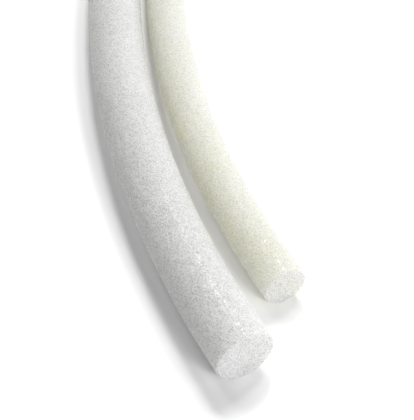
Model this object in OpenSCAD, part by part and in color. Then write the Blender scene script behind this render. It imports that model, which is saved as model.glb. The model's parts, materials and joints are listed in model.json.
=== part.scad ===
// Two cut lengths of flexible closed-cell foam rod: a thick white one and a thinner ivory one.
// They lie side by side on a flat surface, and each keeps the bend of the reel that it came off.
//
// Z = 0 is the surface, and the rods run along Y with their near cut faces at -Y. Both bow
// towards -X, with the small rod on the inside of the large rod's bend. The origin is at the
// middle of the pair's footprint.

/* [Large rod] */
// Diameter of the large rod
large_d = 25.4; // [20:0.1:40]
// Length of the large rod, along its centreline
large_length = 457.2; // [350:0.1:600]
// Radius that the reel left in the large rod, to its centreline
large_bend_r = 500; // [400:1:800]

/* [Small rod] */
// Diameter of the small rod
small_d = 19.05; // [12:0.05:25]
// Length of the small rod, along its centreline
small_length = 457.2; // [350:0.1:600]
// How much tighter the small rod curls than one that follows the large rod all the way
small_curl = 32; // [0:1:80]

/* [How they lie] */
// Clear gap between the rods where they lie closest
rod_gap = 0.5; // [0.3:0.1:10]
// Where the rods lie closest, measured along the large rod from its near cut face
closest_at = 400; // [150:1:450]
// How far the small rod's near cut face is set back from the large rod's, along the rods
small_set_back = 45; // [0:1:120]

/* [Hidden] */

// Facets of a full circle round a rod, and of a full circle round a bend
round_facets = 96;
bend_facets = 720;

large_r = large_d / 2;
small_r = small_d / 2;

// Distance between the centrelines in plan where the rods lie closest. Both rest on Z = 0, so
// the centres are at different heights, and the slope between them is part of the gap.
spacing = sqrt(pow(large_r + small_r + rod_gap, 2) - pow(large_r - small_r, 2));

// The small rod is on the inside, so one that followed the large rod would have this much less
// radius. Its extra curl comes off as well, and the gap opens both ways from the closest place.
small_bend_r = large_bend_r - spacing - small_curl;

// Angles are in degrees about a bend's centre, counted from -X and positive towards -Y.
function turn(length, radius) = length / radius * 180 / PI;
function heading(angle) = [-cos(angle), -sin(angle)];

large_near = turn(large_length / 2, large_bend_r);
large_far = -large_near;
closest = large_near - turn(closest_at, large_bend_r);
small_near = closest + turn(closest_at - small_set_back, small_bend_r);
small_far = small_near - turn(small_length, small_bend_r);

// Centres of the two bends in plan, counted from the middle of the large rod's centreline
large_centre = [large_bend_r, 0];
small_centre = large_centre + small_curl * heading(closest);

// The pair's footprint: the large rod's outer side at its middle is furthest out to -X, and the
// other three limits are at corners of the cut faces.
function inner_corner(centre, bend_r, r, angle) = centre + (bend_r - r) * heading(angle);
function outer_corner(centre, bend_r, r, angle) = centre + (bend_r + r) * heading(angle);
lowest_x = -large_r;
highest_x = max(
    inner_corner(large_centre, large_bend_r, large_r, large_near).x,
    inner_corner(large_centre, large_bend_r, large_r, large_far).x,
    inner_corner(small_centre, small_bend_r, small_r, small_near).x,
    inner_corner(small_centre, small_bend_r, small_r, small_far).x
);
lowest_y = min(
    outer_corner(large_centre, large_bend_r, large_r, large_near).y,
    outer_corner(small_centre, small_bend_r, small_r, small_near).y
);
highest_y = max(
    outer_corner(large_centre, large_bend_r, large_r, large_far).y,
    outer_corner(small_centre, small_bend_r, small_r, small_far).y
);
footprint_middle = [(lowest_x + highest_x) / 2, (lowest_y + highest_y) / 2];

// A solid round rod that rests on Z = 0, bent round a centre and cut square at both ends
module bent_rod(d, bend_r, centre, near, far) {
    place = centre - footprint_middle;
    translate([place.x, place.y, d / 2])
        rotate([0, 0, 180 + far])
            rotate_extrude(angle = near - far, $fn = bend_facets)
                translate([bend_r, 0])
                    circle(d = d, $fn = round_facets);
}

module large_rod() {
    color("whitesmoke")
        bent_rod(large_d, large_bend_r, large_centre, large_near, large_far);
}

module small_rod() {
    color("ivory")
        bent_rod(small_d, small_bend_r, small_centre, small_near, small_far);
}

large_rod();
small_rod();
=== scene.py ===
"""Two lengths of closed-cell foam rod, a thick white one and a thinner ivory one, on a pale table.

Each rod is one closed mesh. Its skin is a lattice of low domes, one over each cell of the foam,
and its cut faces are open cells, sliced at chance heights. The bends, the thicknesses and the
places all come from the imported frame. Lengths are in metres, and MM turns millimetres into them.
"""

import json
import math

import bpy
import numpy as np
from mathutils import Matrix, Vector
from mathutils.geometry import delaunay_2d_cdt


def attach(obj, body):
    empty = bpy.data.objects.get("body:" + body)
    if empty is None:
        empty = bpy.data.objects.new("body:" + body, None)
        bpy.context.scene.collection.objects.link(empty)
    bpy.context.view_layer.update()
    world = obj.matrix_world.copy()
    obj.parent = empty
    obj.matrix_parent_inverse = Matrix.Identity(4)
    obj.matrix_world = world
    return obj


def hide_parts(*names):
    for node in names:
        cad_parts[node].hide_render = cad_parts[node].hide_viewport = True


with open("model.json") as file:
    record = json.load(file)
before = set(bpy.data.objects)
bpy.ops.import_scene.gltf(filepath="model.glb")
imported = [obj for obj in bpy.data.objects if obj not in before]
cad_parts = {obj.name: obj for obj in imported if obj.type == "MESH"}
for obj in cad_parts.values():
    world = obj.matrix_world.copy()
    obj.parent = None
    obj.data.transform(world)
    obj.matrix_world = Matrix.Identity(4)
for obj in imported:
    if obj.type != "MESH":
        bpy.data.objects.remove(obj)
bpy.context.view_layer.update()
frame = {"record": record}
scene = bpy.context.scene

MM = 0.001
MOUNTS = {mount["name"]: mount for mount in frame["record"]["mounts"]}
ROW_HEIGHT = math.sqrt(0.75)  # between the rows of a lattice of equal triangles of side 1


# ---------------------------------------------------------------- the camera

def look_at_rods(aim, azimuth, elevation, distance, lens):
    """A camera that looks at a spot on the table. Azimuth 0 looks along +Y."""
    turn, lift = math.radians(azimuth), math.radians(elevation)
    back = Vector((
        math.sin(turn) * math.cos(lift),
        -math.cos(turn) * math.cos(lift),
        math.sin(lift),
    ))
    camera = bpy.data.objects.new("Camera", bpy.data.cameras.new("Camera"))
    scene.collection.objects.link(camera)
    camera.location = aim + distance * back
    camera.rotation_euler = (-back).to_track_quat("-Z", "Y").to_euler()
    camera.data.lens = lens
    camera.data.clip_start = 0.02
    camera.data.clip_end = 50
    scene.camera = camera


near_cut = Vector(MOUNTS["large_near_cut"]["pos_m"])
look_at_rods(
    aim=Vector((near_cut.x - 11.3 * MM, near_cut.y + 87.5 * MM, 0)),
    azimuth=-2.17,
    elevation=47.43,
    distance=577.5 * MM,
    lens=115.64,
)


# ---------------------------------------------------------------- how a rod lies

class Bend:
    """The even bend of a rod that lies flat, worked out from its two cut faces."""

    def __init__(self, rod):
        cuts = [MOUNTS[f"{rod}_near_cut"], MOUNTS[f"{rod}_far_cut"]]
        ends = np.array([cut["pos_m"] for cut in cuts])
        across = np.array([[-cut["axis"][1], cut["axis"][0]] for cut in cuts])
        # The planes of both cut faces run through the middle of the bend.
        reach = np.linalg.solve(np.stack([across[0], -across[1]], 1), (ends[1] - ends[0])[:2])
        self.middle = ends[0, :2] + reach[0] * across[0]
        spokes = ends[:, :2] - self.middle
        start, end = np.arctan2(spokes[:, 1], spokes[:, 0])
        self.start = start
        self.sweep = (end - start + math.pi) % math.tau - math.pi
        self.bend_radius = float(np.linalg.norm(spokes[0]))
        self.length = self.bend_radius * abs(self.sweep)
        self.rod_radius = float(ends[0, 2])

    def place(self, along, out, up):
        """Points from distances along the rod, out from the bend and up from the rod's axis."""
        angle = self.start + self.sweep * along / self.length
        ring = self.bend_radius + out
        height = self.rod_radius + up
        x = self.middle[0] + ring * np.cos(angle)
        y = self.middle[1] + ring * np.sin(angle)
        return np.stack([x, y, height], -1)


# ---------------------------------------------------------------- the foam's shape

def slow_swell(rng, along, around, longest, waves=9):
    """A smooth unevenness from 0 to 1 over the skin, which meets itself round the rod."""
    total = 0
    for _ in range(waves):
        turns = rng.integers(0, 4)
        cycles = rng.uniform(1, 7)
        phase = rng.uniform(0, math.tau)
        total = total + np.cos(math.tau * cycles * along / longest + turns * around + phase)
    return 0.5 + 0.5 * np.clip(total / (1.6 * math.sqrt(waves)), -1, 1)


def skin_lattice(rng, radius, length, cell, edge):
    """Rings of corners round a straight rod, every third one the top of a dome over a cell.

    Gives the corners as distances along, out and up, the triangles, and the triangles' map.
    """
    step = cell / math.sqrt(3)
    columns = 3 * round(math.tau * radius / step / 3)
    step = math.tau * radius / columns
    straight_rows = 1 + round((length - 2 * edge) / (step * ROW_HEIGHT))
    turn = np.radians([90, 45])
    shift, inset = edge - edge * np.sin(turn), edge - edge * np.cos(turn)
    straight = np.linspace(edge, length - edge, straight_rows)
    row_along = np.concatenate([shift, straight, length - shift[::-1]])[:, None]
    row_inset = np.concatenate([inset, 0 * straight, inset[::-1]])[:, None]

    # Chance shifts make the lattice as uneven as foam. The end rings keep their places.
    rows = len(row_along)
    row, column = np.meshgrid(np.arange(rows), np.arange(columns), indexing="ij")
    loose = (row > 1) & (row < rows - 2)
    along = row_along + rng.uniform(-0.27, 0.27, row.shape) * step * loose
    around = math.tau * (column + 0.5 * (row % 2)) / columns - math.pi / 2
    drift = 1.6 * (slow_swell(rng, along, around, 20 * MM) - 0.5)
    around = around + (drift + rng.uniform(-0.27, 0.27, row.shape)) * step / radius * loose

    is_top = (column - row // 2 - row) % 3 == 0
    top_depth = rng.uniform(0, 0.045, row.shape) * MM
    crease_depth = rng.uniform(0.06, 0.13, row.shape) * MM
    depth = np.where(is_top, top_depth, crease_depth)
    depth = depth + 0.12 * MM * slow_swell(rng, along, around, 120 * MM)
    ring = radius - row_inset - depth
    corners = np.stack([along, ring * np.cos(around), ring * np.sin(around)], -1)

    # Each corner of a row starts two triangles, one on the row and one hung from the next.
    grid = np.meshgrid(np.arange(rows - 1), np.arange(columns), indexing="ij")
    r, c = grid[0].ravel(), grid[1].ravel()
    odd = r % 2
    in_row = np.concatenate([np.stack([r, r, r + 1], 1), np.stack([r, r + 1, r + 1], 1)])
    in_column = np.concatenate([
        np.stack([c, c + 1, c + odd], 1),
        np.stack([c + 1 - odd, c + 1, c], 1),
    ])
    faces = in_row * columns + in_column % columns

    # The map is the skin laid flat, cut into two strips that lie one above the other.
    strip_rows = math.ceil((rows - 1) / 2)
    strip = (in_row.min(1) >= strip_rows)[:, None]
    across = (in_column + 0.5 * (in_row % 2) + strip * (columns + 4)) * step
    lengthwise = (in_row - strip * strip_rows) * step * ROW_HEIGHT
    return corners, faces, np.stack([lengthwise, across], -1)


def open_cells(rng, spots, radius, cell):
    """How deep the knife left each spot of a cut face: cell walls stand, and cells are cups."""
    reach = int(radius / cell) + 2
    column, row = np.meshgrid(np.arange(-reach, reach + 1), np.arange(-reach, reach + 1))
    middles = np.stack([column + 0.5 * (row % 2), row * ROW_HEIGHT], -1).reshape(-1, 2)
    middles = (middles + rng.uniform(-0.36, 0.36, middles.shape)) * cell
    cup_depth = rng.uniform(0.10, 0.42, len(middles)) * cell
    gap = np.linalg.norm(spots[:, None, :] - middles[None, :, :], axis=2)
    order = np.argsort(gap, axis=1)[:, :2]
    nearest, second = np.take_along_axis(gap, order, 1).T
    inside = np.clip((second - nearest) / (0.55 * cell), 0, 1)
    rim_room = np.clip((radius - np.linalg.norm(spots, axis=1)) / (0.6 * cell), 0, 1)
    return cup_depth[order[:, 0]] * inside * (2 - inside) * rim_room


def cut_face(rng, rim, radius, cell, grain):
    """A cut face seen flat: its inner corners, how deep each lies, and its triangles.

    Triangles count the rim's corners first, then the inner ones, and turn anticlockwise.
    """
    reach = int(radius / grain) + 2
    column, row = np.meshgrid(np.arange(-reach, reach + 1), np.arange(-reach, reach + 1))
    inner = np.stack([column + 0.5 * (row % 2), row * ROW_HEIGHT], -1).reshape(-1, 2)
    inner = (inner + rng.uniform(-0.22, 0.22, inner.shape)) * grain
    inner = inner[np.linalg.norm(inner, axis=1) < radius - 0.75 * grain]
    flat = np.concatenate([rim, inner])
    spots = [Vector(spot) for spot in (flat / radius).tolist()]
    _, _, faces, source, _, _ = delaunay_2d_cdt(spots, [], [list(range(len(rim)))], 1, 1e-7)
    faces = np.array([[source[corner][0] for corner in face] for face in faces])
    a, b, c = (flat[faces[:, k]] for k in range(3))
    turned = np.cross(b - a, c - a) < 0
    faces[turned] = faces[turned][:, ::-1]
    return inner, open_cells(rng, inner, radius, cell), faces


def foam_rod(name, bend, cell, cut_cell, cut_grain, edge, finishes, seed):
    """A rod of foam: its skin, its two cut faces, and the map that its finish can be drawn on."""
    rng = np.random.default_rng(seed)
    radius = bend.rod_radius
    lattice, skin_faces, skin_map = skin_lattice(rng, radius, bend.length, cell, edge)
    rows, columns = lattice.shape[:2]
    corners, faces, maps = [lattice.reshape(-1, 3)], [skin_faces], [skin_map]
    strips_top = float(skin_map[..., 1].max())
    for rim_row, inwards in ((0, 1), (rows - 1, -1)):
        rim = lattice[rim_row, :, 1:]
        inner, depth, triangles = cut_face(rng, rim, radius - edge, cut_cell, cut_grain)
        numbers = np.concatenate([
            rim_row * columns + np.arange(columns),
            sum(map(len, corners)) + np.arange(len(inner)),
        ])
        corners.append(np.column_stack([lattice[rim_row, 0, 0] + inwards * depth, inner]))
        faces.append(numbers[triangles][:, ::-inwards])
        middle = np.array([(2 - inwards) * 1.1 * radius, strips_top + 1.1 * radius])
        maps.append((np.concatenate([rim, inner])[triangles] + middle)[:, ::-inwards])

    is_cut = np.repeat([0, 1], [len(skin_faces), len(faces[1]) + len(faces[2])])
    places = bend.place(*np.concatenate(corners).T)
    faces, maps = np.concatenate(faces), np.concatenate(maps)
    mesh = bpy.data.meshes.new(name)
    mesh.from_pydata(places.tolist(), [], faces.tolist())
    mesh.polygons.foreach_set("material_index", is_cut.astype(np.int32))
    mesh.polygons.foreach_set("use_smooth", np.ones(len(faces), bool))
    low, high = maps.min((0, 1)), maps.max((0, 1))
    layer = mesh.uv_layers.new(name="OFBake")
    layer.uv.foreach_set("vector", (0.004 + 0.992 * (maps - low) / (high - low).max()).ravel())
    for finish in finishes:
        mesh.materials.append(finish)
    mesh.update()
    rod = bpy.data.objects.new(name, mesh)
    scene.collection.objects.link(rod)
    return rod


# ---------------------------------------------------------------- finishes

def add(tree, kind, inputs=None, **settings):
    """A shader node with its settings, and with inputs that are plain values or other sockets."""
    node = tree.nodes.new("ShaderNode" + kind)
    for setting, value in settings.items():
        setattr(node, setting, value)
    for socket, value in (inputs or {}).items():
        if isinstance(value, bpy.types.NodeSocket):
            tree.links.new(value, node.inputs[socket])
        else:
            node.inputs[socket].default_value = value
    return node


def new_group(name, inputs, outputs):
    """An empty shader node group, with its own sockets, and the nodes that hold them."""
    tree = bpy.data.node_groups.new(name, "ShaderNodeTree")
    for socket, value in inputs.items():
        made = tree.interface.new_socket(socket, in_out="INPUT", socket_type="NodeSocketFloat")
        made.default_value = value
    for socket in outputs:
        tree.interface.new_socket(socket, in_out="OUTPUT", socket_type="NodeSocketFloat")
    return tree, tree.nodes.new("NodeGroupInput").outputs, tree.nodes.new("NodeGroupOutput")


def calculate(tree, operation, *values):
    """One sum, done on values or on other sockets."""
    return add(tree, "Math", dict(enumerate(values)), operation=operation).outputs[0]


def blend_colours(tree, share, first, second):
    """A colour part of the way from the first to the second, by a share from 0 to 1."""
    mixed = add(tree, "Mix", {"Factor": share}, data_type="RGBA")
    for socket, value in ((mixed.inputs[6], first), (mixed.inputs[7], second)):
        if isinstance(value, bpy.types.NodeSocket):
            tree.links.new(value, socket)
        else:
            socket.default_value = (*value, 1)
    return mixed.outputs[2]


def in_cells(tree, size):
    """Places on the piece, counted in cells of a size, and pushed about so that no row shows."""
    here = add(tree, "TexCoord").outputs["Object"]
    per_metre = calculate(tree, "DIVIDE", 1.0, size)
    counted = add(tree, "VectorMath", {0: here, "Scale": per_metre}, operation="SCALE").outputs[0]
    push = add(tree, "TexNoise", {"Vector": counted, "Scale": 0.8, "Detail": 1.0}).outputs["Color"]
    push = add(tree, "VectorMath", {0: push, "Scale": 0.9}, operation="SCALE").outputs[0]
    return add(tree, "VectorMath", {0: counted, 1: push}, operation="ADD").outputs[0]


def foam_cells_group():
    """The films over the cells: pillows between thin walls, with fine creases, and tones."""
    tree, given, out = new_group("Foam_cells", {"Cell size": 1 * MM}, ["Height", "Wall", "Tone"])
    place = in_cells(tree, given["Cell size"])
    walls = add(tree, "TexVoronoi", {"Vector": place, "Scale": 1.0}, feature="DISTANCE_TO_EDGE")
    cells = add(tree, "TexVoronoi", {"Vector": place, "Scale": 1.0}, feature="F1")
    pillow = add(
        tree, "MapRange", {"Value": walls.outputs["Distance"], "From Max": 0.34},
        interpolation_type="SMOOTHERSTEP",
    ).outputs["Result"]
    creases = add(tree, "TexNoise", {"Vector": place, "Scale": 3.3, "Detail": 3.0}).outputs["Fac"]
    tone = add(tree, "SeparateColor", {"Color": cells.outputs["Color"]}).outputs["Red"]
    swollen = calculate(tree, "MULTIPLY", pillow, calculate(tree, "MULTIPLY_ADD", tone, 0.6, 0.4))
    height = calculate(tree, "MULTIPLY_ADD", creases, 0.45, swollen)
    tree.links.new(height, out.inputs["Height"])
    tree.links.new(calculate(tree, "SUBTRACT", 1.0, pillow), out.inputs["Wall"])
    tree.links.new(tone, out.inputs["Tone"])
    return tree


def fine_grain_group():
    """Small flat folds in the films: each leans its own way and is lighter or darker."""
    tree, given, out = new_group("Fine_grain", {"Grain size": 0.4 * MM}, ["Height", "Tone"])
    place = in_cells(tree, given["Grain size"])
    folds = add(tree, "TexVoronoi", {"Vector": place, "Scale": 1.0}, feature="F1").outputs
    half = (0.5, 0.5, 0.5)
    lean = add(tree, "VectorMath", {0: folds["Color"], 1: half}, operation="SUBTRACT").outputs[0]
    offset = add(
        tree, "VectorMath", {0: place, 1: folds["Position"]}, operation="SUBTRACT",
    ).outputs[0]
    height = add(tree, "VectorMath", {0: lean, 1: offset}, operation="DOT_PRODUCT")
    tone = add(tree, "SeparateColor", {"Color": folds["Color"]}).outputs["Red"]
    tree.links.new(height.outputs["Value"], out.inputs["Height"])
    tree.links.new(tone, out.inputs["Tone"])
    return tree


def film_glints_group():
    """Small taut spots of film, which shine through their coat where they happen to face a lamp,
    and whose colour is lightened as a painted glint.
    """
    tree, given, out = new_group("Film_glints", {"Spacing": 1 * MM, "Share": 0.1}, ["Glint"])
    place = in_cells(tree, given["Spacing"])
    spots = add(tree, "TexVoronoi", {"Vector": place, "Scale": 1.0}, feature="F1")
    chance = add(tree, "SeparateColor", {"Color": spots.outputs["Color"]}).outputs["Green"]
    chosen = calculate(tree, "LESS_THAN", chance, given["Share"])
    near = add(
        tree, "MapRange", {"Value": spots.outputs["Distance"], "From Min": 0.5, "From Max": 0.25},
    ).outputs["Result"]
    tree.links.new(calculate(tree, "MULTIPLY", chosen, near), out.inputs["Glint"])
    return tree


def handling_group():
    """Broad soft patches where the foam was handled or picked up a little dust."""
    tree, given, out = new_group("Handling_marks", {"Patch size": 20 * MM}, ["Patch"])
    place = in_cells(tree, given["Patch size"])
    patches = add(tree, "TexNoise", {"Vector": place, "Scale": 1.0, "Detail": 4.0}).outputs["Fac"]
    patch = add(
        tree, "MapRange", {"Value": patches, "From Min": 0.42, "From Max": 0.72},
        interpolation_type="SMOOTHSTEP",
    ).outputs["Result"]
    tree.links.new(patch, out.inputs["Patch"])
    return tree


FOAM_CELLS = foam_cells_group()
FINE_GRAIN = fine_grain_group()
FILM_GLINTS = film_glints_group()
HANDLING_MARKS = handling_group()


# How far the walls, the cells' own tones and the handling marks darken the foam, out of 1. The
# walls' darkening is painted shade in the creases between the cells.
PAINTED_CREASE_SHADE = 0.35
TONE_SHADE = 0.15
PATCH_SHADE = 0.15
GLINT_SPACING = 2.2  # in grains


def foam(
    name, body, dark_tone_and_crease_shade, painted_glint, glow, glow_reach, cell, relief, grain, lean, contrast, glint_share,
):
    """Closed-cell foam: body is the colour of the cell tops. The darker colour is that of the
    darker grains and the handling marks, and also the painted shade in the creases. The light
    colour is painted on the taut spots as a painted glint. Glow is the share of light that goes
    inside, and glow reach is how far red, green and blue travel there. Lean is the steepness of
    the grains, and contrast is how far they differ in tone."""
    finish = bpy.data.materials.new(name)
    finish.use_nodes = True
    tree = finish.node_tree
    shader = tree.nodes["Principled BSDF"]
    cells = add(tree, "Group", {"Cell size": cell}, node_tree=FOAM_CELLS).outputs
    grains = add(tree, "Group", {"Grain size": grain}, node_tree=FINE_GRAIN).outputs
    glint = add(
        tree, "Group", {"Spacing": GLINT_SPACING * grain, "Share": glint_share},
        node_tree=FILM_GLINTS,
    ).outputs["Glint"]
    patch = add(tree, "Group", {"Patch size": 22 * MM}, node_tree=HANDLING_MARKS).outputs["Patch"]

    # Painted shade: the walls between the cells pull the colour towards the darker colour, as
    # shade in the creases.
    crease_shaded = calculate(tree, "MULTIPLY_ADD", cells["Wall"], PAINTED_CREASE_SHADE, -0.5 * contrast)
    uneven = calculate(tree, "MULTIPLY_ADD", cells["Tone"], TONE_SHADE, crease_shaded)
    dulled = calculate(tree, "MULTIPLY_ADD", patch, PATCH_SHADE, uneven)
    grained = calculate(tree, "MULTIPLY_ADD", grains["Tone"], contrast, dulled)
    colour = blend_colours(tree, grained, body, dark_tone_and_crease_shade)
    # Painted glint: the taut spots' colour is lightened towards the light colour, a painted
    # highlight on top of their real shine from the coat.
    colour = blend_colours(tree, calculate(tree, "MULTIPLY", glint, 0.9), colour, painted_glint)
    rough = calculate(tree, "MULTIPLY_ADD", cells["Wall"], 0.15, 0.5)
    rough = calculate(tree, "MULTIPLY_ADD", glint, -0.35, rough)
    steep = lean * grain / relief
    height = calculate(tree, "MULTIPLY_ADD", grains["Height"], steep, cells["Height"])
    bump = add(tree, "Bump", {"Height": height, "Distance": relief, "Strength": 1.0})
    tree.links.new(colour, shader.inputs["Base Color"])
    tree.links.new(rough, shader.inputs["Roughness"])
    tree.links.new(glint, shader.inputs["Coat Weight"])
    tree.links.new(bump.outputs["Normal"], shader.inputs["Normal"])
    shader.inputs["Coat Roughness"].default_value = 0.2
    shader.inputs["IOR"].default_value = 1.45
    shader.inputs["Subsurface Weight"].default_value = glow
    shader.inputs["Subsurface Radius"].default_value = glow_reach
    shader.inputs["Subsurface Scale"].default_value = 1.0
    return finish


def white_foam_skin():
    return foam(
        "White_foam_skin", body=(0.98, 0.98, 0.975), dark_tone_and_crease_shade=(0.62, 0.615, 0.60),
        painted_glint=(0.99, 0.99, 0.99), glow=0.6, glow_reach=(60 * MM, 60 * MM, 57 * MM),
        cell=1.15 * MM, relief=0.2 * MM, grain=0.32 * MM, lean=1.6, contrast=1.9,
        glint_share=0.4,
    )


def white_foam_cut():
    return foam(
        "White_foam_cut", body=(0.98, 0.98, 0.98), dark_tone_and_crease_shade=(0.70, 0.70, 0.695),
        painted_glint=(0.99, 0.99, 0.99), glow=0.6, glow_reach=(12 * MM, 12 * MM, 11 * MM),
        cell=0.9 * MM, relief=0.25 * MM, grain=0.36 * MM, lean=2.2, contrast=2.0,
        glint_share=0.4,
    )


def ivory_foam_skin():
    return foam(
        "Ivory_foam_skin", body=(0.91, 0.905, 0.745), dark_tone_and_crease_shade=(0.65, 0.642, 0.48),
        painted_glint=(0.99, 0.99, 0.92), glow=0.9, glow_reach=(80 * MM, 78 * MM, 46 * MM),
        cell=0.95 * MM, relief=0.18 * MM, grain=0.31 * MM, lean=1.4, contrast=1.9,
        glint_share=0.4,
    )


def ivory_foam_cut():
    return foam(
        "Ivory_foam_cut", body=(0.97, 0.97, 0.92), dark_tone_and_crease_shade=(0.70, 0.695, 0.63),
        painted_glint=(0.99, 0.99, 0.98), glow=0.6, glow_reach=(12 * MM, 12 * MM, 6 * MM),
        cell=0.8 * MM, relief=0.22 * MM, grain=0.34 * MM, lean=2.2, contrast=2.0,
        glint_share=0.4,
    )


# ---------------------------------------------------------------- the rods

def large_rod():
    """The thick white rod."""
    rod = foam_rod(
        "Large_foam_rod", Bend("large"), cell=1.21 * MM, cut_cell=1.1 * MM, cut_grain=0.32 * MM,
        edge=0.8 * MM, finishes=[white_foam_skin(), white_foam_cut()], seed=11,
    )
    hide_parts("large_rod")
    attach(rod, "large_rod")
    return rod


def small_rod():
    """The thinner ivory rod."""
    rod = foam_rod(
        "Small_foam_rod", Bend("small"), cell=1.05 * MM, cut_cell=0.95 * MM, cut_grain=0.26 * MM,
        edge=0.6 * MM, finishes=[ivory_foam_skin(), ivory_foam_cut()], seed=23,
    )
    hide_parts("small_rod")
    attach(rod, "small_rod")
    return rod


large_rod()
small_rod()


# ---------------------------------------------------------------- the table and the lamps

def table(reach, glow):
    """A pale table top, level with the bottoms of the rods. It glows evenly of itself, a painted
    glow with no lamp under it, which lightens the shadows on it and the rods' undersides.
    """
    mesh = bpy.data.meshes.new("Table_top")
    sides = 96
    turn = np.linspace(0, math.tau, sides, endpoint=False)
    corners = np.stack([reach * np.cos(turn), reach * np.sin(turn), 0 * turn], 1)
    mesh.from_pydata(corners.tolist(), [], [list(range(sides))])
    top = bpy.data.objects.new("Table_top", mesh)
    scene.collection.objects.link(top)
    pale = bpy.data.materials.new("Pale_table")
    pale.use_nodes = True
    shader = pale.node_tree.nodes["Principled BSDF"]
    shader.inputs["Base Color"].default_value = (0.9, 0.9, 0.9, 1)
    shader.inputs["Roughness"].default_value = 0.9
    shader.inputs["Specular IOR Level"].default_value = 0.0
    # Painted glow: the top gives off a little light of its own, which lightens the shadows on it.
    shader.inputs["Emission Color"].default_value = (1, 1, 1, 1)
    shader.inputs["Emission Strength"].default_value = glow
    mesh.materials.append(pale)


def softbox(name, azimuth, elevation, width, watts, distance=1.5):
    """A square soft white lamp that faces the rods. Azimuth 0 is in front, and 90 on the right."""
    turn, lift = math.radians(azimuth), math.radians(elevation)
    towards = Vector((
        math.sin(turn) * math.cos(lift),
        -math.cos(turn) * math.cos(lift),
        math.sin(lift),
    ))
    lamp = bpy.data.lights.new(name, "AREA")
    lamp.size = width
    lamp.energy = watts
    holder = bpy.data.objects.new(name, lamp)
    scene.collection.objects.link(holder)
    holder.location = distance * towards
    holder.rotation_euler = towards.to_track_quat("Z", "Y").to_euler()


def room(backdrop, glow):
    """A white room. Backdrop is how bright its walls look, and glow is the light they give."""
    world = bpy.data.worlds.new("White_room")
    world.use_nodes = True
    tree = world.node_tree
    seen = add(tree, "LightPath").outputs["Is Camera Ray"]
    strength = calculate(tree, "MULTIPLY_ADD", seen, backdrop - glow, glow)
    tree.nodes["Background"].inputs["Color"].default_value = (1, 1, 1, 1)
    tree.links.new(strength, tree.nodes["Background"].inputs["Strength"])
    scene.world = world


scene.view_settings.view_transform = "Standard"
table(reach=1.1, glow=0.155)
softbox("Back_lamp", azimuth=172, elevation=60, width=0.3, watts=12.8)
softbox("Back_right_lamp", azimuth=140, elevation=58, width=0.3, watts=8)
softbox("Back_left_lamp", azimuth=225, elevation=60, width=0.3, watts=3)
softbox("Front_right_lamp", azimuth=28, elevation=28, width=0.3, watts=9)
softbox("Low_right_lamp", azimuth=70, elevation=12, width=0.55, watts=8.5)
room(backdrop=1.0, glow=0.02)
